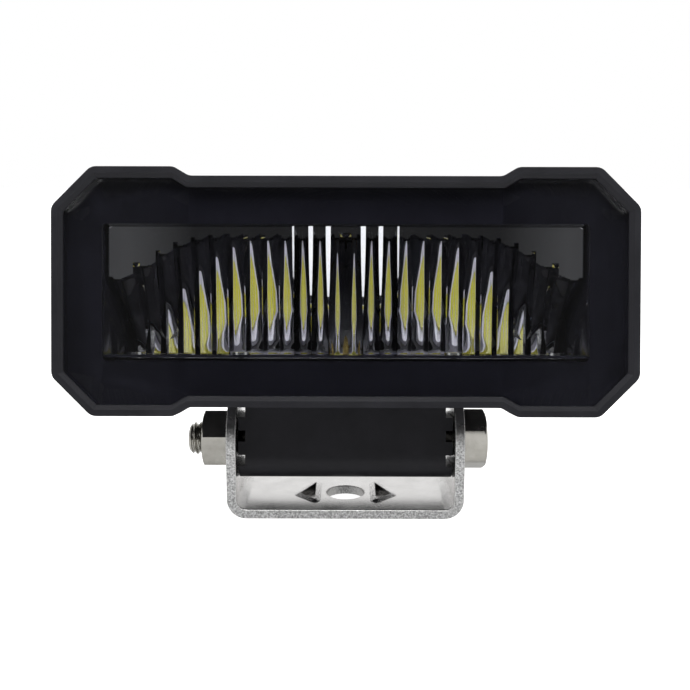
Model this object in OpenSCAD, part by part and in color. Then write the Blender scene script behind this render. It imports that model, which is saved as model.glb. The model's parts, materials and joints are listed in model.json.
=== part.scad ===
// Rectangular LED fog lamp on a U-shaped tilting bracket. Sizes are in millimetres.
// The frame's origin is the centre of the fixing hole on the underside of the bracket, +Z is up and
// the lamp shines towards -Y. The head turns about the hinge bolt, which lies along X.

/* [Bracket] */
// Width of the bracket over its two ears
bracket_w = 55; // [54:0.5:57]
// Depth of the bracket, front to back
bracket_d = 23.6; // [22:0.2:24]
// Thickness of the steel strip
strip_t = 2.3; // [2:0.1:2.6]
// Inside radius of the two bends
bend_r = 2.2; // [1.5:0.1:3]
// Height of the hinge bolt above the underside
hinge_z = 16; // [15:0.5:20]
// Radius of the fixing hole in the base
fixing_r = 4.6; // [4.2:0.1:5]
// Reach of the pressed anti-turn teeth from the middle of the base
tooth_reach = 11; // [10:0.5:12]

/* [Hinge bolt] */
// Radius of the bolt's shank
bolt_r = 3.95; // [3.9:0.01:4]
// Length of the bolt under its head
bolt_len = 65; // [64:1:70]
// Width across flats of the bolt head and the nut
hex_af = 13; // [12.5:0.1:13]
// Height of the bolt head
bolt_head_h = 6; // [5:0.1:6.5]
// Height of the nut
nut_h = 6.5; // [6:0.1:7]
// Turn of the nut about the bolt, from a corner facing forwards
nut_turn = 18; // [0:1:59]
// Turn of the bolt head, from a corner facing forwards
head_turn = 31; // [0:1:59]
// Radial gap between the bolt and the bore of the head's foot
bore_gap = 0.06; // [0.02:0.01:0.09]

/* [Head] */
// Upward tilt of the head at rest
head_tilt = 10.4; // [0:0.1:15]
// Distance of the front rim ahead of the bolt
face_ahead = 31.7; // [31:0.1:33]
// Height of the middle of the face above the bolt
face_up = 33.9; // [33.5:0.1:35]
// Width of the face
face_w = 121.4; // [120:0.2:124]
// Height of the face at its two ends
end_h = 51.5; // [51:0.1:53]
// Height of the face along its middle
mid_h = 47.7; // [47:0.1:48.5]
// Size of the four corner cuts
corner_cut = 8.2; // [7:0.1:9]
// Distance of each step in the outline from the middle
step_x = 33.9; // [32:0.1:36]
// Width of each sloping step
step_run = 3.2; // [2.5:0.1:4]
// Whole depth of the head, rim to fins
head_d = 45; // [44:0.5:48]
// Depth of the front flange
flange_d = 6; // [5:0.5:7]
// Width of the body behind the flange
body_w = 114; // [112:1:115]
// Number of cooling fins
fin_count = 15; // [11:2:15]
// Thickness of a fin
fin_t = 2; // [1.6:0.1:2.4]

/* [Foot] */
// Width of the foot between the ears
foot_w = 49.8; // [49:0.1:49.9]
// Depth of the foot
foot_d = 18; // [16:0.5:18]
// Reach of the foot below the bolt
foot_drop = 8.6; // [8:0.1:9]
// Height of the front-to-back grooves in the foot's ends
groove_h = 2.6; // [2:0.1:3]
// Depth of the grooves
groove_deep = 1.6; // [1:0.1:2]

/* [Optics] */
// Width of the window
window_w = 102; // [100:0.5:103]
// Height of the window
window_h = 28.7; // [27:0.1:29]
// Thickness of the outer lens
lens_t = 3; // [2.5:0.1:3]
// Focal length of the reflector's curve
focal = 7.8; // [7.7:0.1:7.9]
// Depth of the line of emitters behind the rim
emitter_depth = 19.4; // [19:0.1:19.4]
// Number of LED packages
led_count = 20; // [10:2:20]
// Spacing of the LED packages
led_pitch = 4.2; // [4:0.1:4.4]

/* [Hidden] */

$fn = 64;
eps = 0.01;
inner_x = bracket_w / 2 - strip_t;
hole_gap = 0.25;
tooth_x = 7.3;
tooth_half = 5.7;
tooth_deep = 1.5;
thread_pitch = 1.25;
hex_r = hex_af / 2 / cos(30);
washer_face = 0.4;

// Depths behind the rim's front plane.
rim_bevel = 0.9;
lens_front = 0.9;
lens_back = lens_front + lens_t;
border_t = 0.8;
border_back = lens_back + border_t;
seal_t = 0.5;
ledge = border_back + seal_t;
wall_back = 34;
cavity_back = 31;

// Insets from the outline of the face.
rim_flat = 1.3;
rim_inner = 2.2;
glass_gap = 0.1;
ledge_inset = 5;

// Heights from the middle of the face.
body_top = 21.5;
body_bottom = -21.1;
shelf_z = -16;
cavity_top = 18.4;
pad_t = 0.4;
board_t = 1.6;
board_z = shelf_z + pad_t + board_t;
package_w = 3.9;
package_d = 5.4;
package_h = 0.55;
phosphor_w = 3.6;
phosphor_d = 3.8;
phosphor_h = 0.15;
mirror_depth = 28;
mirror_z = -13.9;
mirror_t = 1;
mirror_x = 50.45;
mirror_rim = 6.6;
mirror_top = 14.6;
mirror_screw_x = 42;
mirror_screw_z = -8;

cavity_x = 54;
board_front = 10;
board_back = 23.6;
tongue_x = 6;
tongue_back = 30.2;
board_x = 50;
screw_xs = [-46, -22.8, 23.6, 46];
screw_depth = 12.6;
pin_xs = [-3, 0, 3];

driver_depth = 27.6;
driver_t = 1.6;
driver_z = 5;
driver_h = 12;
driver_w = 70;
driver_screw_x = 31;
screw_r = 1.05;
gland_z = -4;
gland_r = 6;
gland_boss_r = 10;
gland_collar = 3;
gland_neck = 2;
sleeve_r = 4.2;
cable_r = 2.6;
boss_back = 38.5;
vent_x = 38;
vent_z = 8;
vent_r = 3.5;
vent_boss_r = 7;
vent_boss_h = 3;
vent_cap_r = 5.5;
vent_rim = 1.5;

// Outline of the face as a closed loop, anticlockwise, starting at the lower left corner cut.
function face_loop() = let (
    a = face_w / 2,
    b = end_h / 2,
    c = mid_h / 2,
    s0 = step_x - step_run / 2,
    s1 = step_x + step_run / 2,
    right = [[s0, -c], [s1, -b], [a - corner_cut, -b], [a, corner_cut - b]],
    upper = [for (i = [3:-1:0]) [right[i][0], -right[i][1]]],
    left = [for (i = [0:3]) -right[i]],
    lower = [for (i = [3:-1:0]) [-right[i][0], right[i][1]]])
    concat(right, upper, left, lower);

function unit(v) = v / norm(v);
function left_of(v) = [-v[1], v[0]];

// Moves every edge of a loop inwards by d.
function inset(loop, d) = let (n = len(loop))
    [for (i = [0:n - 1]) let (
        na = left_of(unit(loop[i] - loop[(i + n - 1) % n])),
        nb = left_of(unit(loop[(i + 1) % n] - loop[i])))
        loop[i] + (na + nb) * d / (1 + na * nb)];

// Rounds every corner of a loop with an arc of radius r in the given number of steps.
function rounded(loop, r, steps) = let (n = len(loop))
    [for (i = [0:n - 1]) let (
        u = unit(loop[i] - loop[(i + n - 1) % n]),
        v = unit(loop[(i + 1) % n] - loop[i]),
        turn = atan2(u[0] * v[1] - u[1] * v[0], u * v),
        side = sign(turn),
        start = loop[i] - u * r * tan(abs(turn) / 2),
        middle = start + left_of(u) * r * side,
        from = atan2(start[1] - middle[1], start[0] - middle[0]))
        for (k = [0:steps]) middle + r * [cos(from + turn * k / steps), sin(from + turn * k / steps)]];

function face_outline(d, r = 2.6) = rounded(inset(face_loop(), d), r, 4);

// A rectangle with cut or rounded corners, from its two opposite corners.
function box_loop(lo, hi) = [lo, [hi[0], lo[1]], hi, [lo[0], hi[1]]];
function round_box(lo, hi, r) = rounded(box_loop(lo, hi), r, 5);

// Puts a part drawn about the bolt's axis, with its face upright, in its place on the bracket.
module on_hinge() {
    translate([0, 0, hinge_z])
        rotate([-head_tilt, 0, 0])
            children();
}

// The same for a part drawn from the middle of the face: X right, Y depth behind the rim, Z up.
module at_face() {
    on_hinge()
        translate([0, -face_ahead, face_up])
            children();
}

// Extrudes a loop drawn in X and Z from one depth to another.
module slab(loop, from, to) {
    translate([0, to, 0])
        rotate([90, 0, 0])
            linear_extrude(to - from)
                polygon(loop);
}

// A box with square edges, from its lowest to its highest corner.
module block(lo, hi) {
    translate(lo)
        cube(hi - lo);
}

// A cylinder along Y between two depths.
module rod_y(x, z, r, from, to) {
    translate([x, from, z])
        rotate([-90, 0, 0])
            cylinder(h = to - from, r = r);
}

// A cylinder along Z between two heights.
module rod_z(x, y, r, from, to) {
    translate([x, y, from])
        cylinder(h = to - from, r = r);
}

// A solid between two loops with the same number of points, at two depths. Its ends are fans round
// the middle, which every point of the loops can be seen from.
module loft(loop_a, from, loop_b, to) {
    n = len(loop_a);
    polyhedron(
        points = concat([for (p = loop_a) [p[0], from, p[1]]], [for (p = loop_b) [p[0], to, p[1]]],
            [[0, from, 0], [0, to, 0]]),
        faces = concat(
            [for (i = [0:n - 1]) [(i + 1) % n, i, 2 * n]],
            [for (i = [0:n - 1]) [n + i, n + (i + 1) % n, 2 * n + 1]],
            [for (i = [0:n - 1]) [i, (i + 1) % n, n + i]],
            [for (i = [0:n - 1]) [(i + 1) % n, n + (i + 1) % n, n + i]]));
}

// A hexagon along X with both or one end's corners turned off, from one x to another.
module hex_x(turn, from, to, both) {
    cone = 1.2;
    run = hex_r - hex_af / 2 + cone;
    intersection() {
        translate([from, 0, 0])
            rotate([0, 90, 0])
                rotate([0, 0, 90 - turn])
                    cylinder(h = to - from, r = hex_r, $fn = 6);
        translate([from, 0, 0])
            rotate([0, 90, 0])
                rotate_extrude()
                    polygon([[0, 0], [hex_af / 2 + (both ? 0 : cone), 0],
                        [hex_af / 2 + cone, both ? cone * 0.55 : 0],
                        [hex_af / 2 + cone, to - from - cone * 0.55], [hex_af / 2, to - from],
                        [0, to - from]]);
    }
}

// The U-shaped steel strip with round-topped ears.
module bracket() {
    outer_r = bend_r + strip_t;
    top = hinge_z + bracket_d / 2 + 1;
    color("gainsboro") difference() {
        intersection() {
            translate([0, bracket_d, 0])
                rotate([90, 0, 0])
                    linear_extrude(bracket_d * 2)
                        difference() {
                            bend_section(bracket_w / 2, 0, outer_r, top);
                            bend_section(inner_x, strip_t, bend_r, top + 1);
                        }
            union() {
                translate([-bracket_w, -bracket_d / 2, -1])
                    cube([bracket_w * 2, bracket_d, hinge_z + 1]);
                translate([-bracket_w, 0, hinge_z])
                    rotate([0, 90, 0])
                        cylinder(h = bracket_w * 2, r = bracket_d / 2, $fn = 96);
            }
        }
        rod_z(0, 0, fixing_r, -1, strip_t + 1);
        translate([-bracket_w, 0, hinge_z])
            rotate([0, 90, 0])
                cylinder(h = bracket_w * 2, r = bolt_r + hole_gap);
        for (side = [-1, 1])
            translate([0, 0, strip_t - tooth_deep])
                linear_extrude(tooth_deep + 1)
                    polygon([[side * tooth_x, -tooth_half], [side * tooth_x, tooth_half],
                        [side * tooth_reach, -2]]);
    }
}

// Half-open section of a bent strip: a rectangle with its two lower corners rounded.
module bend_section(half, floor_z, r, top) {
    translate([-half, floor_z + r])
        square([half * 2, top - floor_z - r]);
    translate([r - half, floor_z])
        square([(half - r) * 2, r * 2]);
    for (side = [-1, 1])
        translate([side * (half - r), floor_z + r])
            circle(r);
}

// The bolt, with its head at +X and rings for its thread at -X.
module hinge_bolt() {
    seat = bracket_w / 2;
    tip = seat - bolt_len;
    groove = 0.55;
    color("silver") translate([0, 0, hinge_z]) {
        hex_x(head_turn, seat + washer_face, seat + bolt_head_h, false);
        translate([tip, 0, 0])
            rotate([0, 90, 0])
                rotate_extrude()
                    polygon(concat([[0, 0], [bolt_r - 1.1, 0]],
                        [for (i = [0:8]) each [[bolt_r, (i + 0.9) * thread_pitch],
                            [bolt_r - groove, (i + 1.4) * thread_pitch]]],
                        [[bolt_r, 10 * thread_pitch], [bolt_r, bolt_len], [hex_af / 2 - 0.3, bolt_len],
                            [hex_af / 2 - 0.3, bolt_len + washer_face + 0.5],
                            [0, bolt_len + washer_face + 0.5]]));
    }
}

// The nut that clamps the ears from the -X side.
module hinge_nut() {
    face = -bracket_w / 2;
    color("silver") translate([0, 0, hinge_z])
        difference() {
            hex_x(nut_turn, face - nut_h, face, true);
            translate([face - nut_h - 1, 0, 0])
                rotate([0, 90, 0])
                    cylinder(h = nut_h + 2, r = bolt_r);
        }
}

// The die-cast body: stepped front flange, box behind it, cooling fins and the foot on the hinge.
module housing() {
    color([0.14, 0.14, 0.15]) difference() {
        union() {
            at_face() {
                slab(face_outline(0), 0, flange_d);
                slab(round_box([-body_w / 2, body_bottom], [body_w / 2, body_top], 6),
                    flange_d - eps, wall_back);
                fins();
                rod_y(0, gland_z, gland_boss_r, wall_back - 1, boss_back);
                rod_y(vent_x, vent_z, vent_boss_r, wall_back - 1, wall_back + vent_boss_h);
            }
            on_hinge()
                foot();
        }
        at_face() {
            loft(inset(face_loop(), rim_flat - 0.1), -0.1, inset(face_loop(), rim_inner), rim_bevel);
            slab(face_outline(rim_inner, 1.4), rim_bevel - eps, ledge);
            slab(round_box([-cavity_x, shelf_z], [cavity_x, cavity_top], 4), ledge - eps, cavity_back);
            rod_y(0, gland_z, gland_r, cavity_back - 1, boss_back + 1);
            rod_y(vent_x, vent_z, vent_r, cavity_back - 1, wall_back + vent_boss_h + 1);
            for (x = screw_xs)
                rod_z(x, screw_depth, screw_r, shelf_z - 4, shelf_z + 1);
            for (x = [-driver_screw_x, driver_screw_x])
                rod_y(x, driver_z + driver_h / 2, screw_r, cavity_back - 1, cavity_back + 2);
            for (x = [-mirror_screw_x, mirror_screw_x])
                rod_y(x, mirror_screw_z, screw_r, cavity_back - 1, cavity_back + 2);
        }
        on_hinge()
            translate([-foot_w, 0, 0])
                rotate([0, 90, 0])
                    cylinder(h = foot_w * 2, r = bolt_r + bore_gap);
    }
}

// Upright fins across the back, cut away round the cable gland and the vent.
module fins() {
    pitch = (body_w - 8) / (fin_count - 1);
    difference() {
        for (i = [0:fin_count - 1])
            translate([(i - (fin_count - 1) / 2) * pitch - fin_t / 2, wall_back - 1, 0])
                rotate([90, 0, 90])
                    linear_extrude(fin_t)
                        polygon([[0, body_bottom], [head_d - wall_back - 1, body_bottom],
                            [head_d - wall_back + 1, body_bottom + 2], [head_d - wall_back + 1, body_top - 6],
                            [head_d - wall_back - 3, body_top - 1], [0, body_top - 1]]);
        rod_y(0, gland_z, gland_boss_r + 2.5, wall_back, head_d + 1);
        rod_y(vent_x, vent_z, vent_boss_r + 1.5, wall_back, head_d + 1);
    }
}

// The foot between the ears, with a rounded lower edge and three grooves across each end.
module foot() {
    round_r = 5;
    half = foot_d / 2;
    rise = face_up + body_bottom + 2;
    difference() {
        translate([-foot_w / 2, 0, 0])
            rotate([90, 0, 90])
                linear_extrude(foot_w) {
                    translate([-half, round_r - foot_drop])
                        square([foot_d, rise + foot_drop - round_r]);
                    translate([round_r - half, -foot_drop])
                        square([foot_d - 2 * round_r, 2 * round_r]);
                    for (side = [-1, 1])
                        translate([side * (half - round_r), round_r - foot_drop])
                            circle(round_r);
                }
        for (side = [-1, 1], z = [-4.2, 1.5, 7.2])
            translate([side * foot_w / 2 - groove_deep, -half - 1, z - groove_h / 2])
                cube([groove_deep * 2, foot_d + 2, groove_h]);
    }
}

// The clear outer lens.
module lens() {
    color([0.9, 0.95, 1, 0.3]) at_face()
        slab(face_outline(rim_inner + glass_gap, 1.4), lens_front, lens_back);
}

// The opaque black border moulded on the back of the lens.
module lens_border() {
    color([0.05, 0.05, 0.06]) at_face()
        difference() {
            slab(face_outline(rim_inner + glass_gap, 1.4), lens_back, border_back);
            slab(window_loop(0), lens_back - 1, border_back + 1);
        }
}

function window_loop(d) = round_box([-window_w / 2 - d, -window_h / 2 - d],
    [window_w / 2 + d, window_h / 2 + d], 0.8);

// The rubber seal between the border and the ledge of the housing.
module lens_seal() {
    color([0.1, 0.1, 0.1]) at_face()
        difference() {
            slab(face_outline(rim_inner + glass_gap, 1.4), border_back, ledge);
            slab(face_outline(ledge_inset + 0.5, 1.4), border_back - 1, ledge + 1);
        }
}

// The black frame inside: a plate with the window, two side walls and a lip over the board's edge.
module inner_frame() {
    gap = 0.3;
    plate = ledge + 1.2;
    front = ledge + 0.1;
    color([0.06, 0.06, 0.07]) at_face() {
        difference() {
            union() {
                slab(round_box([gap - cavity_x, board_z + gap], [cavity_x - gap, cavity_top - gap], 4),
                    front, plate);
                for (side = [-1, 1])
                    block([side * (window_w / 2 + 0.7) - 0.6, plate - eps, board_z + gap],
                        [side * (window_w / 2 + 0.7) + 0.6, 25, 13]);
                block([-window_w / 2, plate - eps, board_z + gap], [window_w / 2, 14.6, board_z + 0.9]);
            }
            block([-window_w / 2, front - 1, board_z + 0.9], [window_w / 2, plate + 1, window_h / 2]);
            for (x = screw_xs)
                rod_z(x, screw_depth, 2.7, board_z, board_z + 2);
        }
    }
}

// Point of the reflecting curve at height h above its vertex, pushed out by d along its normal.
function mirror_point(h, d) = let (away = unit([2 * focal, h]))
    [mirror_depth - h * h / (4 * focal), mirror_z + h] + d * away;

// The trough-shaped reflector, with an upright rim along its top.
module reflector() {
    low = board_z + 0.6 - mirror_z;
    high = sqrt((mirror_depth - mirror_rim) * 4 * focal);
    steps = 24;
    heights = [for (i = [0:steps]) low + (high - low) * i / steps];
    color([0.85, 0.86, 0.88]) at_face()
        translate([-mirror_x, 0, 0])
            rotate([90, 0, 90])
                linear_extrude(mirror_x * 2)
                    polygon(concat([for (h = heights) mirror_point(h, 0)],
                        [[mirror_rim, mirror_top], [mirror_rim + mirror_t, mirror_top]],
                        [for (i = [steps:-1:0]) mirror_point(heights[i], mirror_t)]));
}

// The screws that hold the reflector's back to the rear wall.
module reflector_screws() {
    from = mirror_point(mirror_screw_z - 2 - mirror_z, mirror_t)[0] + 0.2;
    color("silver") at_face()
        for (x = [-mirror_screw_x, mirror_screw_x]) {
            rod_y(x, mirror_screw_z, 2, from, cavity_back);
            rod_y(x, mirror_screw_z, screw_r, cavity_back - 0.1, cavity_back + 2);
        }
}

// The aluminium-cored board under the reflector, with a tongue that takes the driver's pins.
module led_board() {
    color([0.08, 0.08, 0.09]) at_face()
        difference() {
            union() {
                block([-board_x, board_front, board_z - board_t], [board_x, board_back, board_z]);
                block([-tongue_x, board_front, board_z - board_t], [tongue_x, tongue_back, board_z]);
            }
            for (x = screw_xs)
                rod_z(x, screw_depth, 1.35, board_z - board_t - 1, board_z + 1);
        }
}

// White bodies of the LED packages, in one row along the focus.
module led_packages() {
    color("white") at_face()
        for (i = [0:led_count - 1])
            translate([(i - (led_count - 1) / 2) * led_pitch, emitter_depth, board_z])
                translate([-package_w / 2, -package_d / 2, 0])
                    cube([package_w, package_d, package_h]);
}

// Yellow phosphor windows on the packages.
module led_phosphor() {
    color([0.85, 0.8, 0.2]) at_face()
        for (i = [0:led_count - 1])
            translate([(i - (led_count - 1) / 2) * led_pitch, emitter_depth, board_z + package_h])
                translate([-phosphor_w / 2, -phosphor_d / 2, 0])
                    cube([phosphor_w, phosphor_d, phosphor_h]);
}

// Pan-headed screws that hold the board to the shelf.
module board_screws() {
    color("silver") at_face()
        for (x = screw_xs) {
            rod_z(x, screw_depth, 2, board_z, board_z + 1.3);
            rod_z(x, screw_depth, screw_r, shelf_z - 3.5, board_z + 0.1);
        }
}

// Small surface-mounted parts near the ends of the board, each as its middle and its width.
module board_parts() {
    color([0.75, 0.75, 0.72]) at_face()
        for (part = [[-42.2, 4], [-37, 1.6], [39.3, 1.6], [44, 5.6]])
            block([part[0] - part[1] / 2, 14.8, board_z], [part[0] + part[1] / 2, 16.1, board_z + 0.9]);
}

// The heat-conducting pad between the board and the shelf.
module thermal_pad() {
    color([0.5, 0.6, 0.7]) at_face()
        difference() {
            block([-board_x, board_front, shelf_z], [board_x, board_back, shelf_z + pad_t]);
            for (x = screw_xs)
                rod_z(x, screw_depth, 1.35, shelf_z - 1, shelf_z + 1);
        }
}

// The driver board behind the reflector's upper half.
module driver_board() {
    color("darkgreen") at_face()
        difference() {
            block([-driver_w / 2, driver_depth, driver_z],
                [driver_w / 2, driver_depth + driver_t, driver_z + driver_h]);
            for (x = [-driver_screw_x, driver_screw_x])
                rod_y(x, driver_z + driver_h / 2, screw_r + 0.25, driver_depth - 1, driver_depth + 3);
        }
}

// The wound choke of the driver.
module driver_coil() {
    color([0.2, 0.2, 0.2]) at_face()
        rod_y(-16, driver_z + 6, 4.5, driver_depth - 4, driver_depth);
}

// Two round capacitors of the driver.
module driver_capacitors() {
    color([0.3, 0.35, 0.5]) at_face()
        for (x = [12, 21])
            rod_y(x, driver_z + 6.5, 3.4, driver_depth - 4.5, driver_depth);
}

// Flat chips of the driver.
module driver_chips() {
    color([0.1, 0.1, 0.1]) at_face()
        for (x = [-5, 2.5])
            block([x - 2.4, driver_depth - 1.4, driver_z + 3], [x + 2.4, driver_depth, driver_z + 8]);
}

// The screws that hold the driver board to the rear wall.
module driver_screws() {
    color("silver") at_face()
        for (x = [-driver_screw_x, driver_screw_x]) {
            rod_y(x, driver_z + driver_h / 2, 2, driver_depth - 1.3, driver_depth);
            rod_y(x, driver_z + driver_h / 2, screw_r, driver_depth - 0.1, cavity_back + 2);
        }
}

// The pins that carry the current from the back of the driver board down to the LED board's tongue.
module link_pins() {
    from = driver_depth + driver_t;
    color("gold") at_face()
        for (x = pin_xs)
            block([x - 0.4, from, board_z], [x + 0.4, from + 0.7, driver_z + 4]);
}

// The cable gland's body, screwed into the boss on the back.
module gland_body() {
    collar = boss_back + gland_collar;
    color([0.1, 0.1, 0.1]) at_face()
        difference() {
            union() {
                rod_y(0, gland_z, gland_r, cavity_back, boss_back);
                translate([0, boss_back, gland_z])
                    rotate([-90, 0, 0])
                        cylinder(h = gland_collar, r = 9, $fn = 6);
                rod_y(0, gland_z, gland_r + 0.4, collar - eps, collar + gland_neck);
            }
            rod_y(0, gland_z, sleeve_r, cavity_back - 1, collar + gland_neck + 1);
        }
}

// The gland's cap, with a round nose.
module gland_nut() {
    from = boss_back + gland_collar + gland_neck;
    color([0.1, 0.1, 0.1]) at_face()
        difference() {
            translate([0, from, gland_z])
                rotate([-90, 0, 0])
                    rotate_extrude()
                        polygon([[0, 0], [8, 0], [8, 3.5], [7.2, 5], [5.2, 6], [0, 6]]);
            rod_y(0, gland_z, cable_r + 0.8, from - 1, from + 7);
        }
}

// The rubber sleeve that grips the cable.
module gland_seal() {
    from = boss_back - 2;
    to = boss_back + gland_collar + gland_neck;
    color([0.15, 0.15, 0.15]) at_face()
        difference() {
            rod_y(0, gland_z, sleeve_r, from, to);
            rod_y(0, gland_z, cable_r, from - 1, to + 1);
        }
}

// The breather's threaded body.
module vent_body() {
    seat = wall_back + vent_boss_h;
    color([0.1, 0.1, 0.1]) at_face()
        difference() {
            union() {
                rod_y(vent_x, vent_z, vent_r, cavity_back, seat);
                rod_y(vent_x, vent_z, vent_cap_r, seat, seat + vent_rim);
            }
            rod_y(vent_x, vent_z, 2, cavity_back - 1, seat + vent_rim + 1);
        }
}

// The breather's porous disc.
module vent_membrane() {
    from = wall_back + vent_boss_h + vent_rim;
    color("white") at_face()
        rod_y(vent_x, vent_z, 4, from, from + 0.3);
}

// The breather's slotted cap.
module vent_cap() {
    base = wall_back + vent_boss_h + vent_rim;
    color([0.08, 0.08, 0.08]) at_face()
        difference() {
            rod_y(vent_x, vent_z, vent_cap_r, base, base + 3);
            rod_y(vent_x, vent_z, 4.2, base - 1, base + 1.6);
            for (turn = [0, 60, 120])
                translate([vent_x, base + 0.8, vent_z])
                    rotate([0, turn, 0])
                        cube([14, 1, 1.4], center = true);
        }
}

bracket();
hinge_bolt();
hinge_nut();
housing();
lens();
lens_border();
lens_seal();
inner_frame();
reflector();
reflector_screws();
led_board();
led_packages();
led_phosphor();
board_screws();
board_parts();
thermal_pad();
driver_board();
driver_coil();
driver_capacitors();
driver_chips();
driver_screws();
link_pins();
gland_body();
gland_nut();
gland_seal();
vent_body();
vent_membrane();
vent_cap();
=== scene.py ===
"""Looks for the LED fog light: its lamp head tilts on a U-shaped steel bracket.

Lengths inside the shape functions are in millimetres and are turned into metres when a mesh is made.
"""

import json
import math

import bmesh
import bpy
import numpy as np
from mathutils import Matrix, Vector


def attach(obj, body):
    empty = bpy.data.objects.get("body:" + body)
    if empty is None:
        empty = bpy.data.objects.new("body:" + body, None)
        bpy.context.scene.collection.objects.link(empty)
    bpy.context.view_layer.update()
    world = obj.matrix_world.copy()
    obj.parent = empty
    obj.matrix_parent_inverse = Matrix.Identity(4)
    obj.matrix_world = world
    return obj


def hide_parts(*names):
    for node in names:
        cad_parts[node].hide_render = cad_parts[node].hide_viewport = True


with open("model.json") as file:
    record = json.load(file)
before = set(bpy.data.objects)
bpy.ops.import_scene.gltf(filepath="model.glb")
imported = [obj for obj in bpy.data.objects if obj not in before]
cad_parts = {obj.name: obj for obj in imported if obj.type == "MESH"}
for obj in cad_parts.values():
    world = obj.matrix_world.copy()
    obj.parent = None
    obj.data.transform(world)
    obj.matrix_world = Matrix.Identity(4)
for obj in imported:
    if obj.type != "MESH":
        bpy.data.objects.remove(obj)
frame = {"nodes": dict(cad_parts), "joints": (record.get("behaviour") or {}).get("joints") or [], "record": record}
bpy.context.view_layer.update()

MM = 0.001

# ---------------------------------------------------------------- places, as in part.scad

HINGE = Vector(frame["joints"][0]["pos_m"])
HEAD_TILT = math.radians(10.4)
FACE_AHEAD = 31.7
FACE_UP = 33.9
ON_HINGE = Matrix.Translation(HINGE) @ Matrix.Rotation(-HEAD_TILT, 4, "X") @ Matrix.Scale(MM, 4)
AT_FACE = ON_HINGE @ Matrix.Translation((0, -FACE_AHEAD, FACE_UP))
AT_BOLT = Matrix.Translation(HINGE) @ Matrix.Scale(MM, 4)
AT_BASE = Matrix.Scale(MM, 4)

BRACKET_W = 55
STRIP_T = 2.3
BOLT_R = 3.95
BOLT_LEN = 65
HEX_AF = 13
BOLT_HEAD_H = 6
NUT_H = 6.5
NUT_TURN = 18
HEAD_TURN = 31
THREAD_PITCH = 1.25
THREAD_DEEP = 0.62
THREAD_END = -24.0
TOOTH_X = 7.3
TOOTH_HALF = 5.7
TOOTH_REACH = 11
TOOTH_POINT = -2.0
BOARD_TOP = -14.0


# ---------------------------------------------------------------- camera, stage and lights


def make_camera():
    """The photograph's viewing angle: a little above the lamp and nearly square to it."""
    yaw, pitch, roll = -0.0036, 0.194, 0.002
    forward = Vector((math.sin(yaw) * math.cos(pitch), math.cos(yaw) * math.cos(pitch), -math.sin(pitch)))
    right = Vector((math.cos(yaw), -math.sin(yaw), 0))
    up = right.cross(forward)
    side = right * math.cos(roll) + up * math.sin(roll)
    top = up * math.cos(roll) - right * math.sin(roll)
    data = bpy.data.cameras.new("camera")
    data.lens = 45.87
    data.sensor_width = 36
    data.clip_start = 0.01
    data.clip_end = 20
    camera = bpy.data.objects.new("camera", data)
    axes = Matrix((side, top, -forward)).transposed().to_4x4()
    camera.matrix_world = Matrix.Translation(Vector((0.556, -204.683, 79.235)) * MM) @ axes
    bpy.context.scene.collection.objects.link(camera)
    bpy.context.scene.camera = camera


def make_light(name, place, aim, size, power, tint=(1, 1, 1)):
    """A soft rectangular lamp at a place, turned towards a point."""
    data = bpy.data.lights.new(name, "AREA")
    data.shape = "RECTANGLE"
    data.size, data.size_y = size
    data.energy = power
    data.color = tint
    lamp = bpy.data.objects.new(name, data)
    lamp.location = place
    lamp.rotation_euler = (Vector(aim) - Vector(place)).to_track_quat("-Z", "Y").to_euler()
    lamp.visible_camera = False
    bpy.context.scene.collection.objects.link(lamp)


def make_stage():
    """A pale floor in a pale room that is dark ahead of the lamp, and darkest in a strip straight ahead.

    The camera sees floor and room as white. What mirrors them sees a dimmer floor and the dark side.
    """
    scene = bpy.context.scene
    scene.view_settings.view_transform = "Standard"
    bm = bmesh.new()
    bmesh.ops.create_grid(bm, x_segments=1, y_segments=1, size=4)
    mesh = bpy.data.meshes.new("floor")
    bm.to_mesh(mesh)
    bm.free()
    floor = bpy.data.objects.new("floor", mesh)
    floor.location.z = -0.02 * MM
    scene.collection.objects.link(floor)
    paint = bpy.data.materials.new("pale_floor")
    paint.use_nodes = True
    shader = paint.node_tree.nodes["Principled BSDF"]
    shader.inputs["Base Color"].default_value = (0.6, 0.6, 0.6, 1)
    shader.inputs["Roughness"].default_value = 0.9
    shader.inputs["Specular IOR Level"].default_value = 0.1
    shader.inputs["Emission Color"].default_value = (1, 1, 1, 1)
    tree = Nodes(paint.node_tree)
    seen = tree.add("ShaderNodeLightPath").outputs["Is Camera Ray"]
    tree.set(shader.inputs["Emission Strength"], tree.between(seen, 0.4, 1.0, 0, 1))
    mesh.materials.append(paint)

    world = bpy.data.worlds.new("room")
    scene.world = world
    world.use_nodes = True
    tree = Nodes(world.node_tree)
    world.node_tree.nodes.clear()
    direction = tree.add("ShaderNodeTexCoord").outputs["Generated"]
    apart = tree.add("ShaderNodeSeparateXYZ", Vector=direction)
    room_light = tree.ramp(apart.outputs["Y"], [(0.0, 0.06), (0.30, 0.06), (0.62, 0.5), (1.0, 1.0)], -1, 1)
    aside = tree.between(tree.math("ABSOLUTE", apart.outputs["X"]), 0.3, 1.0, 0.17, 0.24)
    behind = tree.between(apart.outputs["Y"], 0.3, 1.0, -0.9, -0.7)
    mirrored = tree.mix(tree.math("MAXIMUM", aside, behind), (0, 0, 0), room_light)
    seen = tree.add("ShaderNodeLightPath").outputs["Is Camera Ray"]
    lit = tree.add("ShaderNodeBackground", Color=mirrored, Strength=1.0)
    pale = tree.add("ShaderNodeBackground", Color=(1.0, 1.0, 1.0, 1), Strength=1.0)
    both = tree.mix_shader(seen, lit.outputs[0], pale.outputs[0])
    out = tree.add("ShaderNodeOutputWorld")
    world.node_tree.links.new(both, out.inputs["Surface"])


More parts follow.
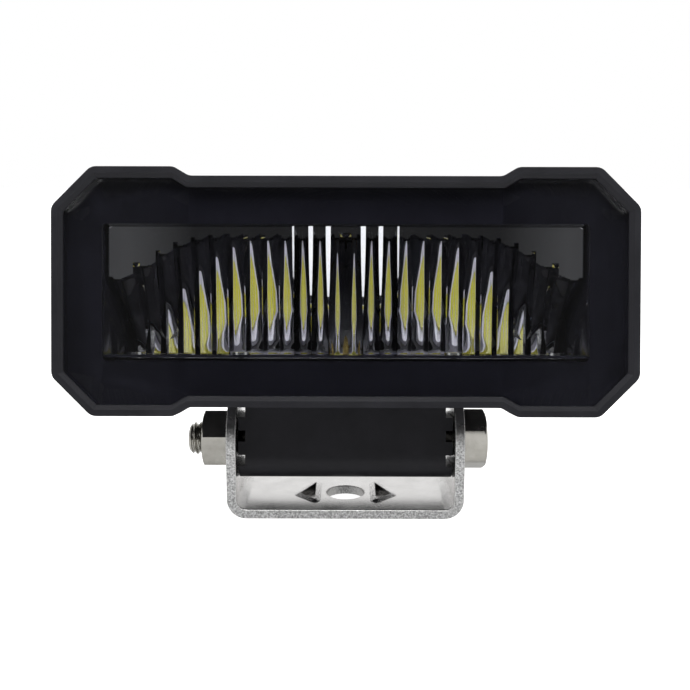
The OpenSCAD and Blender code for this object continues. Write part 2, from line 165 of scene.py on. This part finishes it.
def make_lights():
    """A broad even light from above for the floor, and soft boxes above, ahead and at both sides."""
    data = bpy.data.lights.new("sky", "SUN")
    data.energy = 0.5
    data.angle = math.radians(60)
    sky = bpy.data.objects.new("sky", data)
    sky.rotation_euler = (math.radians(-8), 0, 0)
    bpy.context.scene.collection.objects.link(sky)
    make_light("top_box", (0.0, 0.05, 0.7), (0, 0, 0.02), (1.2, 0.8), 2)
    make_light("front_box", (0.0, -0.45, 0.65), (0, 0, 0.05), (0.6, 0.4), 4.5)
    make_light("left_box", (-0.75, -0.25, 0.35), (0, 0, 0.03), (0.9, 1.0), 1.9)
    make_light("right_box", (0.75, -0.25, 0.35), (0, 0, 0.03), (0.9, 1.0), 1.9)


# ---------------------------------------------------------------- material nodes


class Nodes:
    """Short ways to add and link the nodes of one tree."""

    def __init__(self, tree):
        self.tree = tree

    def add(self, kind, **values):
        node = self.tree.nodes.new(kind)
        for name, value in values.items():
            self.set(node.inputs[name.replace("_", " ")], value)
        return node

    def set(self, socket, value):
        if isinstance(value, bpy.types.NodeSocket):
            self.tree.links.new(value, socket)
        else:
            socket.default_value = value

    def place(self, stretch=(1, 1, 1)):
        """Object coordinates in millimetres, stretched along each axis."""
        at = self.add("ShaderNodeTexCoord").outputs["Object"]
        mapping = self.add("ShaderNodeMapping", Vector=at)
        mapping.inputs["Scale"].default_value = [1000 / s for s in stretch]
        return mapping.outputs[0]

    def noise(self, at, grain, detail=3.0, rough=0.6):
        """Noise from 0 to 1 with blobs about grain millimetres across."""
        node = self.add("ShaderNodeTexNoise", Vector=at, Scale=1 / grain, Detail=detail, Roughness=rough)
        return node.outputs["Fac"]

    def ramp(self, value, stops, low=0.0, high=1.0):
        """Grey levels at the stops, smoothly joined, for values from low to high."""
        spread = self.add("ShaderNodeMapRange", Value=value)
        spread.inputs["From Min"].default_value = low
        spread.inputs["From Max"].default_value = high
        node = self.add("ShaderNodeValToRGB", Fac=spread.outputs[0])
        elements = node.color_ramp.elements
        while len(elements) < len(stops):
            elements.new(0.5)
        for element, (at, level) in zip(elements, stops):
            element.position = at
            element.color = (level, level, level, 1)
        return node.outputs["Color"]

    def between(self, value, low, high, from_low=0.3, from_high=0.7):
        """Spreads a value over low to high."""
        node = self.add("ShaderNodeMapRange", Value=value)
        limits = {"From Min": from_low, "From Max": from_high, "To Min": low, "To Max": high}
        for name, limit in limits.items():
            node.inputs[name].default_value = limit
        return node.outputs[0]

    def mix(self, share, a, b):
        """Blends two colours."""
        node = self.tree.nodes.new("ShaderNodeMix")
        node.data_type = "RGBA"
        self.set(node.inputs[0], share)
        self.set(node.inputs[6], a if isinstance(a, bpy.types.NodeSocket) else (*a, 1))
        self.set(node.inputs[7], b if isinstance(b, bpy.types.NodeSocket) else (*b, 1))
        return node.outputs[2]

    def math(self, operation, *terms):
        node = self.tree.nodes.new("ShaderNodeMath")
        node.operation = operation
        for socket, term in zip(node.inputs, terms):
            self.set(socket, term)
        return node.outputs[0]

    def bump(self, height, depth, strength=1.0, under=None):
        """A normal bumped by a height of depth millimetres."""
        node = self.add("ShaderNodeBump", Height=height, Strength=strength, Distance=depth * MM)
        if under is not None:
            self.set(node.inputs["Normal"], under)
        return node.outputs[0]

    def mix_shader(self, share, a, b):
        node = self.tree.nodes.new("ShaderNodeMixShader")
        self.set(node.inputs[0], share)
        self.set(node.inputs[1], a)
        self.set(node.inputs[2], b)
        return node.outputs[0]


def grey(level):
    return (level, level, level)


def start_material(name, **values):
    """A material with its helper and its Principled shader, with plain values set on the shader."""
    material = bpy.data.materials.new(name)
    material.use_nodes = True
    tree = Nodes(material.node_tree)
    shader = material.node_tree.nodes["Principled BSDF"]
    for key, value in values.items():
        tree.set(shader.inputs[key.replace("_", " ")], value)
    return material, tree, shader


def powder_coat():
    """Fine-textured matte black coat, rubbed a little paler in places."""
    material, tree, shader = start_material("powder_coat", Specular_IOR_Level=0.2)
    at = tree.place()
    grain = tree.noise(at, 0.34, 2.0)
    cloud = tree.noise(at, 9.0)
    colour = tree.mix(tree.between(cloud, 0, 1), (0.009, 0.009, 0.0115), (0.014, 0.014, 0.0175))
    tree.set(shader.inputs["Base Color"], colour)
    tree.set(shader.inputs["Roughness"], tree.between(cloud, 0.42, 0.54))
    tree.set(shader.inputs["Normal"], tree.bump(grain, 0.05, 0.8))
    return material


def steel(name, low, high, shine, streak=(1, 1, 1)):
    """Bright stainless steel: long fine brushing, cloudy stains and small pits."""
    material, tree, shader = start_material(name, Metallic=1.0)
    cloud = tree.noise(tree.place(), 4.0, 4.0)
    lines = tree.noise(tree.place(streak), 0.12, 2.0)
    speck = tree.noise(tree.place(), 0.22, 3.0, 0.7)
    colour = tree.mix(tree.between(cloud, 0, 1), low, high)
    tree.set(shader.inputs["Base Color"], colour)
    tree.set(shader.inputs["Roughness"], tree.between(cloud, shine[0], shine[1]))
    brushed = tree.bump(lines, 0.012, 0.6)
    tree.set(shader.inputs["Normal"], tree.bump(speck, 0.02, 0.5, brushed))
    return material


def bracket_steel():
    """Satin stainless sheet with painted shade: the outer faces of the ears are coloured a darker grey. Its
    sheared front and back edges are torn.
    """
    material, tree, shader = start_material("bracket_steel", Metallic=1.0)
    facing = tree.add("ShaderNodeSeparateXYZ", Vector=tree.add("ShaderNodeTexCoord").outputs["Normal"])
    front = tree.math("POWER", tree.math("ABSOLUTE", facing.outputs["Y"]), 6.0)
    cloud = tree.noise(tree.place(), 6.0, 4.0)
    lines = tree.noise(tree.place((14, 1, 14)), 0.16, 2.0)
    torn = tree.noise(tree.place(), 0.45, 4.0, 0.75)
    sheet = tree.mix(tree.between(cloud, 0, 1), (0.64, 0.63, 0.62), (0.77, 0.76, 0.75))
    place = tree.add("ShaderNodeSeparateXYZ", Vector=tree.add("ShaderNodeTexCoord").outputs["Object"])
    painted_shade_outside = tree.math("MULTIPLY", facing.outputs["X"], place.outputs["X"])  # above 0 outside the ears, where the painted shade goes
    # Painted shade: the outer faces of the ears get a darker grey, so they show darker against the pale room.
    sheet = tree.mix(tree.between(painted_shade_outside, 0, 1, 0.010, 0.020), sheet, (0.40, 0.395, 0.39))
    sheared = tree.mix(tree.between(torn, 0, 1, 0.38, 0.62), grey(0.25), grey(0.78))
    tree.set(shader.inputs["Base Color"], tree.mix(front, sheet, sheared))
    bends = tree.math("MULTIPLY", tree.math("ABSOLUTE", facing.outputs["X"]), 4.0)
    bends = tree.math("MULTIPLY", bends, tree.math("ABSOLUTE", facing.outputs["Z"]))
    worn = tree.math("MINIMUM", tree.math("ADD", front, bends), 1.0)
    rough = tree.add("ShaderNodeMix")
    tree.set(rough.inputs[0], front)
    tree.set(rough.inputs[2], tree.between(cloud, 0.17, 0.27))
    rough.inputs[3].default_value = 0.42
    tree.set(shader.inputs["Roughness"], rough.outputs[0])
    brushed = tree.bump(lines, 0.010, 0.5)
    tree.set(shader.inputs["Normal"], tree.bump(torn, 0.2, tree.math("MULTIPLY", worn, 0.9), brushed))
    return material


def chrome():
    """Vacuum-metallised mirror with the faintest haze."""
    material, tree, shader = start_material("chrome", Metallic=1.0)
    haze = tree.noise(tree.place(), 5.0)
    tree.set(shader.inputs["Base Color"], tree.mix(haze, (0.86, 0.86, 0.90), (0.91, 0.91, 0.94)))
    tree.set(shader.inputs["Roughness"], tree.between(haze, 0.015, 0.035))
    return material


def plastic(name, dark, light, shine, grain=0.3, depth=0.01, gloss=0.5):
    """Moulded plastic or rubber with a slight cloud in its colour and a fine grain."""
    material, tree, shader = start_material(name, Specular_IOR_Level=gloss)
    at = tree.place()
    cloud = tree.noise(at, 7.0)
    tree.set(shader.inputs["Base Color"], tree.mix(tree.between(cloud, 0, 1), dark, light))
    tree.set(shader.inputs["Roughness"], tree.between(cloud, shine[0], shine[1]))
    tree.set(shader.inputs["Normal"], tree.bump(tree.noise(at, grain, 2.0), depth, 0.6))
    return material


def clear_lens():
    """Clear polycarbonate that lets the lamps through."""
    material, tree, shader = start_material("clear_lens", Transmission_Weight=1.0, IOR=1.49)
    tree.set(shader.inputs["Base Color"], (0.96, 0.97, 0.98, 1))
    smear = tree.noise(tree.place(), 12.0)
    tree.set(shader.inputs["Roughness"], tree.between(smear, 0.0, 0.012))
    through = tree.add("ShaderNodeBsdfTransparent", Color=(0.93, 0.93, 0.94, 1))
    shadow = tree.add("ShaderNodeLightPath").outputs["Is Shadow Ray"]
    both = tree.mix_shader(shadow, shader.outputs[0], through.outputs[0])
    tree.set(material.node_tree.nodes["Material Output"].inputs["Surface"], both)
    return material


def phosphor():
    """Yellow phosphor silicone, a little deeper where the dome is thick."""
    material, tree, shader = start_material("phosphor", Specular_IOR_Level=0.5)
    at = tree.place()
    dust = tree.noise(at, 0.25, 3.0)
    cloud = tree.noise(at, 3.0)
    warm = tree.mix(tree.between(cloud, 0, 1), (0.66, 0.63, 0.045), (0.72, 0.66, 0.05))
    tree.set(shader.inputs["Base Color"], tree.mix(tree.between(dust, 0, 0.4), warm, (0.56, 0.54, 0.045)))
    tree.set(shader.inputs["Roughness"], tree.between(dust, 0.35, 0.5))
    tree.set(shader.inputs["Normal"], tree.bump(dust, 0.02, 0.5))
    return material


def make_materials():
    """One material for each of the record's slots."""
    return {
        "bracket_steel": bracket_steel(),
        "fastener_steel": steel(
            "fastener_steel", (0.30, 0.29, 0.262), (0.42, 0.41, 0.378), (0.18, 0.28), streak=(6, 1, 1)
        ),
        "black_powder_coat": powder_coat(),
        "clear_lens": clear_lens(),
        "gloss_black": plastic(
            "gloss_black",
            (0.008, 0.008, 0.0115),
            (0.010, 0.010, 0.0145),
            (0.05, 0.08),
            depth=0.001,
            gloss=0.3,
        ),
        "black_rubber": plastic("black_rubber", grey(0.010), grey(0.018), (0.6, 0.75), 0.5, 0.03),
        "reflector_chrome": chrome(),
        "screw_steel": steel("screw_steel", grey(0.70), grey(0.85), (0.12, 0.22)),
        "black_board": plastic("black_board", (0.006, 0.006, 0.008), (0.012, 0.012, 0.014), (0.3, 0.4)),
        "white_package": plastic("white_package", (0.72, 0.71, 0.79), (0.78, 0.77, 0.85), (0.3, 0.4)),
        "yellow_phosphor": phosphor(),
        "tinned_metal": steel("tinned_metal", (0.62, 0.62, 0.60), (0.78, 0.78, 0.76), (0.25, 0.40)),
        "thermal_silicone": plastic("thermal_silicone", (0.20, 0.24, 0.28), (0.26, 0.30, 0.34), (0.6, 0.7)),
        "green_board": plastic("green_board", (0.010, 0.07, 0.025), (0.018, 0.10, 0.04), (0.3, 0.4)),
        "dark_ferrite": plastic("dark_ferrite", grey(0.02), grey(0.04), (0.5, 0.7), 0.2, 0.04),
        "capacitor_can": steel(
            "capacitor_can", (0.50, 0.52, 0.58), (0.60, 0.62, 0.68), (0.25, 0.35), streak=(1, 6, 1)
        ),
        "chip_black": plastic("chip_black", grey(0.010), grey(0.018), (0.5, 0.6)),
        "pin_brass": steel(
            "pin_brass", (0.70, 0.52, 0.20), (0.80, 0.62, 0.28), (0.2, 0.3), streak=(1, 1, 8)
        ),
        "black_nylon": plastic(
            "black_nylon", (0.012, 0.012, 0.013), (0.020, 0.020, 0.021), (0.45, 0.6), 0.4, 0.03
        ),
        "vent_fabric": plastic("vent_fabric", grey(0.60), grey(0.75), (0.8, 0.9), 0.15, 0.05),
    }


# ---------------------------------------------------------------- mesh helpers

SLOT_OF = {row["node"]: row["material_slot"] for row in frame["record"]["subparts"]}
BODY_OF = {node: body for body, nodes in frame["record"]["behaviour"]["bodies"].items() for node in nodes}


def add_piece(name, mesh, node):
    """Links a mesh as a piece that stands for a CAD node, on its body and with its material."""
    piece = bpy.data.objects.new(name, mesh)
    bpy.context.scene.collection.objects.link(piece)
    mesh.materials.clear()
    mesh.materials.append(materials[SLOT_OF[node]])
    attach(piece, BODY_OF[node])
    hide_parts(node)
    return piece


def finish_mesh(bm, name, matrix, sharp=30):
    """Turns a bmesh in millimetres into a smooth-shaded mesh. Edges over the sharp angle stay crisp."""
    bmesh.ops.recalc_face_normals(bm, faces=bm.faces)
    bm.transform(matrix)
    shade(bm, sharp)
    mesh = bpy.data.meshes.new(name)
    bm.to_mesh(mesh)
    bm.free()
    return mesh


def shade(bm, sharp):
    """Shades every face smooth, and keeps the edges over the sharp angle crisp."""
    limit = math.radians(sharp)
    for face in bm.faces:
        face.smooth = True
    for edge in bm.edges:
        edge.smooth = len(edge.link_faces) == 2 and edge.calc_face_angle(0) < limit


def refine(node, name, width, angle=25):
    """A copy of a CAD node with welded faces and edges rounded to a width in millimetres."""
    bm = bmesh.new()
    bm.from_mesh(frame["nodes"][node].data)
    bmesh.ops.remove_doubles(bm, verts=bm.verts, dist=0.002 * MM)
    bmesh.ops.dissolve_limit(bm, angle_limit=math.radians(0.4), verts=bm.verts, edges=bm.edges)
    shade(bm, angle)
    clean = bpy.data.meshes.new(name)
    bm.to_mesh(clean)
    bm.free()
    if "custom_normal" in clean.attributes:
        clean.attributes.remove(clean.attributes["custom_normal"])
    piece = add_piece(name, clean, node)
    bevel = piece.modifiers.new("edges", "BEVEL")
    bevel.width = width * MM
    bevel.segments = 2
    bevel.limit_method = "ANGLE"
    bevel.angle_limit = math.radians(angle)
    bevel.harden_normals = True
    bevel.miter_outer = "MITER_ARC"


def grid_faces(bm, rows, closed=False):
    """Joins rows of vertices with quads."""
    for lower, upper in zip(rows, rows[1:]):
        count = len(lower)
        for i in range(count if closed else count - 1):
            j = (i + 1) % count
            bm.faces.new((lower[i], lower[j], upper[j], upper[i]))


# ---------------------------------------------------------------- the reflector

# Places on the mirror are (x, depth, height): depth runs back from the face, height up from its middle.
FLUTE = 3.95
FLUTES = 13
LEAF_AT = 1.9
MIRROR_X = 50.4
MIRROR_LOW = BOARD_TOP + 0.6
MIRROR_HIGH = 14.6
MIRROR_DEPTH = 28.9
MIRROR_RIM = 6.8
RIM_STEP = 1.8
MIRROR_T = 1.0
STEEPEST = -2.0

# The depth and height of the LEDs' tops and of the viewer's eye.
LED_DEPTH = 19.4
LED_TOP = BOARD_TOP + 0.6
EYE = Vector((-181.0, -8.5))

# How much the flutes spread for each millimetre behind a depth, away from the mirror's last few millimetres.
FAN = 0.0038
FAN_FROM = 22
FAN_END = 6

# The slope of the flanks, and how far inwards the edges between the outer flutes are moved.
FLANK = math.tan(math.radians(30))
OUTER_SHIFT = 0.6

# Half the widths of the ribs from the middle out, the height where they bend back, and their two slopes.
RIB_HALF = (0, 0.56, 0.5, 0.22)
RIB_BEND = -1.4
RIB_LEAN = math.tan(math.radians(25))
RIB_BACK = 0.9

# How far a leaf's crest bends inwards and outwards before its flanks, for the flutes from the middle out.
LEAF_IN = (0.5, 0.7, 0.8, 1.0, 1.6)
LEAF_OUT = (0.5, 0.7, 0.8, 0.6, 0.35)

# What a crest mirrors at each height: the place behind the middle of the LED row.
AIM_HEIGHT = (-12.2, -10.2, -5.8, -3.5, 1.0, 6.5, 10.8, 12.0, 16.0, 23.0, 30.0)
AIM_BEHIND = (5.6, 2.7, 1.7, 0.1, -0.2, 1.7, 2.7, 4.1, 6.5, 7.2, 11.0)


def leaf_drop(k):
    """How far the tip of a leaf sits below the highest ones, for the flute k from the middle."""
    return 2.0 if k == 0 else 14.1 * (max(0.0, k - 4.6) / 5.4) ** 2


def crest_curve(k, heights):
    """Depth and slope of a flute's crest at each height, turning the view from ahead down to the LEDs."""
    depth = MIRROR_DEPTH
    curve = []
    for height in heights:
        point = Vector((depth, height))
        behind = np.interp(height + leaf_drop(k), AIM_HEIGHT, AIM_BEHIND)
        normal = (Vector((LED_DEPTH + behind, LED_TOP)) - point).normalized() - (point - EYE).normalized()
        slope = max(-normal.y / normal.x, STEEPEST)
        curve.append((depth, slope))
        depth += slope * (heights[1] - heights[0])
    return curve


def fan(x, depth):
    """Spreads the flutes a little with depth, as they run away from the viewer, but not at the ends."""
    return x * (1 + FAN * (depth - FAN_FROM) * min(1.0, (MIRROR_X - x) / FAN_END))


def rib_half(number, height):
    """Half the width of the upright rib between two flutes, tapered low down, or zero if there is none."""
    taper = max(0.15, 1 - 0.7 * ((MIRROR_HIGH - height) / (MIRROR_HIGH - RIB_BEND)) ** 2)
    return RIB_HALF[number] * taper if number < len(RIB_HALF) else 0


def flute_edge(number):
    """Where a flute starts. Away from the middle its crest sits nearer its outer edge."""
    return FLUTE * number - (OUTER_SHIFT if number > 3 else 0)


def flute_points(k, height, depth, slope):
    """The flute's section at a height: a crest that bends into two flanks turned away from the LEDs."""
    crest = FLUTE * k + LEAF_AT
    start = flute_edge(k) + rib_half(k, height) + 0.01
    end = min(flute_edge(k + 1) - rib_half(k + 1, height) - 0.01, MIRROR_X)
    steep = FLANK * math.hypot(1, slope)
    points = []
    for side, bend, edge in ((-1, LEAF_IN[min(k, 4)], start), (1, LEAF_OUT[min(k, 4)], end)):
        reach = abs(edge - crest)
        aways = [min(bend * share, reach * (0.9 + share * 0.06)) for share in (0.25, 0.5, 0.75, 1.0, 1.3)]
        half = []
        for away in [0, *aways, reach]:
            bent = min(away, bend * 1.3)
            at = depth + steep * (bent**2 / (2.6 * bend) + away - bent)
            half.append((crest + side * away, at if at > MIRROR_RIM + RIM_STEP else MIRROR_RIM, height))
        points += half[:0:-1] if side < 0 else half
    return points


def rib_points(number, height, trough):
    """The rib's section at a height. It stands ahead of the trough and mirrors the ground ahead."""
    half = rib_half(number, height)
    front = MIRROR_RIM - 1.3 + (MIRROR_HIGH - max(height, RIB_BEND)) * RIB_LEAN
    front += max(0.0, RIB_BEND - height) * RIB_BACK
    trough = max(trough, MIRROR_RIM)
    front = front if height < MIRROR_HIGH - 0.4 else trough
    crown = ((-half, 0.1), (0, 0), (half, 0.1))
    return [(FLUTE * number + off, min(trough, front + back), height) for off, back in crown]


def reflector():
    """The fluted mirror as a closed shell."""
    count = 110
    heights = [MIRROR_LOW + (MIRROR_HIGH - MIRROR_LOW) * i / count for i in range(count + 1)]
    curves = [crest_curve(k, heights) for k in range(FLUTES)]
    bm = bmesh.new()
    front, back = [], []
    for i, height in enumerate(heights):
        half = []
        for k in range(FLUTES):
            depth, slope = curves[k][i]
            if rib_half(k, height):
                half += rib_points(k, height, depth)
            half += flute_points(k, height, depth, slope)
        half = [(fan(x, depth), depth, height) for x, depth, height in half]
        row = [(-x, d, h) for x, d, h in reversed(half)] + half
        behind = max(d for x, d, h in row) + MIRROR_T
        front.append([bm.verts.new(point) for point in row])
        back.append([bm.verts.new((x, behind, height)) for x, d, h in row])
    grid_faces(bm, front)
    grid_faces(bm, back)
    for n in (0, -1):
        grid_faces(bm, [front[n], back[n]])
        grid_faces(bm, [[row[n] for row in front], [row[n] for row in back]])
    return add_piece("fluted_reflector", finish_mesh(bm, "fluted_reflector", AT_FACE, 20), "reflector")


# ---------------------------------------------------------------- bracket teeth


def tooth_lips():
    """Raised lips that the punch has left round the two triangular teeth."""
    section = [(0.0, -0.3), (0.0, 0.42), (0.18, 0.5), (0.5, 0.4), (0.9, 0.17), (1.4, 0.0), (1.4, -0.3)]
    bm = bmesh.new()
    for side in (-1, 1):
        triangle = ((TOOTH_X, -TOOTH_HALF), (TOOTH_X, TOOTH_HALF), (TOOTH_REACH, TOOTH_POINT))
        corners = [Vector((side * x, y)) for x, y in triangle]
        middle = sum(corners, Vector((0, 0))) / 3
        path = []
        for before, corner, after in zip(corners[-1:] + corners, corners, corners[1:] + corners[:1]):
            outward = []
            for a, b in ((before, corner), (corner, after)):
                normal = Vector((b.y - a.y, a.x - b.x)).normalized()
                outward.append(normal if normal.dot(a - middle) > 0 else -normal)
            path += [(corner, outward[0].slerp(outward[1], share / 4)) for share in range(5)]
        loops = []
        for out, up in section:
            loops.append([bm.verts.new((*(corner + away * out), STRIP_T + up)) for corner, away in path])
        grid_faces(bm, loops + loops[:1], closed=True)
    return add_piece("tooth_lips", finish_mesh(bm, "tooth_lips", AT_BASE), "bracket")


# ---------------------------------------------------------------- bolt and nut


def ring(bm, x, radii, turn=0.0):
    """A loop of vertices about the bolt's axis, at x, with one radius for each of its equal steps."""
    count = len(radii)
    angles = [2 * math.pi * i / count + turn for i in range(count)]
    return [bm.verts.new((x, r * math.sin(a), r * math.cos(a))) for r, a in zip(radii, angles)]


def hex_radii(cap, per_side=12):
    """Radii of a hexagon's outline, no longer than the cap."""
    steps = [math.pi / 3 * (i / per_side - 0.5) for i in range(per_side)]
    return [min(HEX_AF / 2 / math.cos(a), cap) for a in steps] * 6


def hex_rows(bm, start, end, turned_start, turned_end, turn):
    """The six sides between two planes, with the corners turned off at the chosen ends."""
    corner = HEX_AF / 2 / math.cos(math.pi / 6) - 0.12
    face = HEX_AF / 2 - 0.25
    rows = []
    for share in [0, 0.012, 0.04, 0.08, 0.12, 0.16, 0.22, 0.5, 0.78, 0.84, 0.88, 0.92, 0.96, 0.988, 1]:
        x = start + (end - start) * share
        near = min(x - start if turned_start else 9, end - x if turned_end else 9)
        cap = min(corner, face + near * 1.9 + (0.12 if near > 0.02 else 0))
        rows.append(ring(bm, x, hex_radii(cap), turn))
    grid_faces(bm, rows, closed=True)
    return rows


def thread_rows(bm, tip, end, count=72):
    """A helical thread from its chamfered tip to the plain shank."""
    rows = []
    steps = round((end - tip) / THREAD_PITCH * 10)
    for i in range(steps + 1):
        x = tip + (end - tip) * i / steps
        radii = []
        for j in range(count):
            phase = (x / THREAD_PITCH + j / count) % 1.0
            cut = max(0.0, min(1.0, 1.25 - 2.6 * abs(phase - 0.5)))
            fade = min(1.0, (end - x) / 1.0)
            radii.append(min(BOLT_R - THREAD_DEEP * cut * fade, BOLT_R - 1.0 + (x - tip) * 1.1))
        rows.append(ring(bm, x, radii))
    grid_faces(bm, rows, closed=True)
    return rows


def hex_bolt():
    """The hinge bolt: chamfered head with its washer face, plain shank and helical thread."""
    seat = BRACKET_W / 2
    tip = seat - BOLT_LEN
    turn = math.radians(HEAD_TURN - 30)
    bm = bmesh.new()
    head = hex_rows(bm, seat + 0.4, seat + BOLT_HEAD_H, False, True, turn)
    count = len(head[0])
    washer = [ring(bm, x, [HEX_AF / 2 - 0.3] * count, turn) for x in (seat, seat + 0.4)]
    grid_faces(bm, [washer[0], washer[1], head[0]], closed=True)
    hollow = ((4.6, 0.0), (4.3, 0.12), (0.6, 0.12))
    dish = [ring(bm, seat + BOLT_HEAD_H - deep, [radius] * count, turn) for radius, deep in hollow]
    grid_faces(bm, [head[-1], *dish], closed=True)
    bm.faces.new(dish[-1])
    thread = thread_rows(bm, tip, THREAD_END)
    shank = ring(bm, seat, [BOLT_R] * 72)
    grid_faces(bm, [thread[-1], shank], closed=True)
    grid_faces(bm, [shank, washer[0]], closed=True)
    bm.faces.new(thread[0])
    return add_piece("hex_bolt", finish_mesh(bm, "hex_bolt", AT_BOLT), "hinge_bolt")


def hex_nut():
    """The nut, with both faces turned and its bore countersunk."""
    face = -BRACKET_W / 2
    turn = math.radians(NUT_TURN - 30)
    bm = bmesh.new()
    sides = hex_rows(bm, face - NUT_H, face, True, True, turn)
    count = len(sides[0])
    sink = 0.45
    bore = [
        ring(bm, x, [r] * count, turn)
        for x, r in (
            (face, BOLT_R + sink),
            (face - sink, BOLT_R + 0.02),
            (face - NUT_H + sink, BOLT_R + 0.02),
            (face - NUT_H, BOLT_R + sink),
        )
    ]
    grid_faces(bm, [sides[-1], *bore, sides[0]], closed=True)
    return add_piece("hex_nut", finish_mesh(bm, "hex_nut", AT_BOLT), "hinge_nut")


# ---------------------------------------------------------------- build

make_camera()
make_stage()
make_lights()
materials = make_materials()

for node, shown in frame["nodes"].items():
    shown.data.materials.clear()
    shown.data.materials.append(materials[SLOT_OF[node]])

refine("housing", "housing_casting", 0.35)
refine("bracket", "bracket_strip", 0.28)
tooth_lips()
hex_nut()
hex_bolt()
reflector()
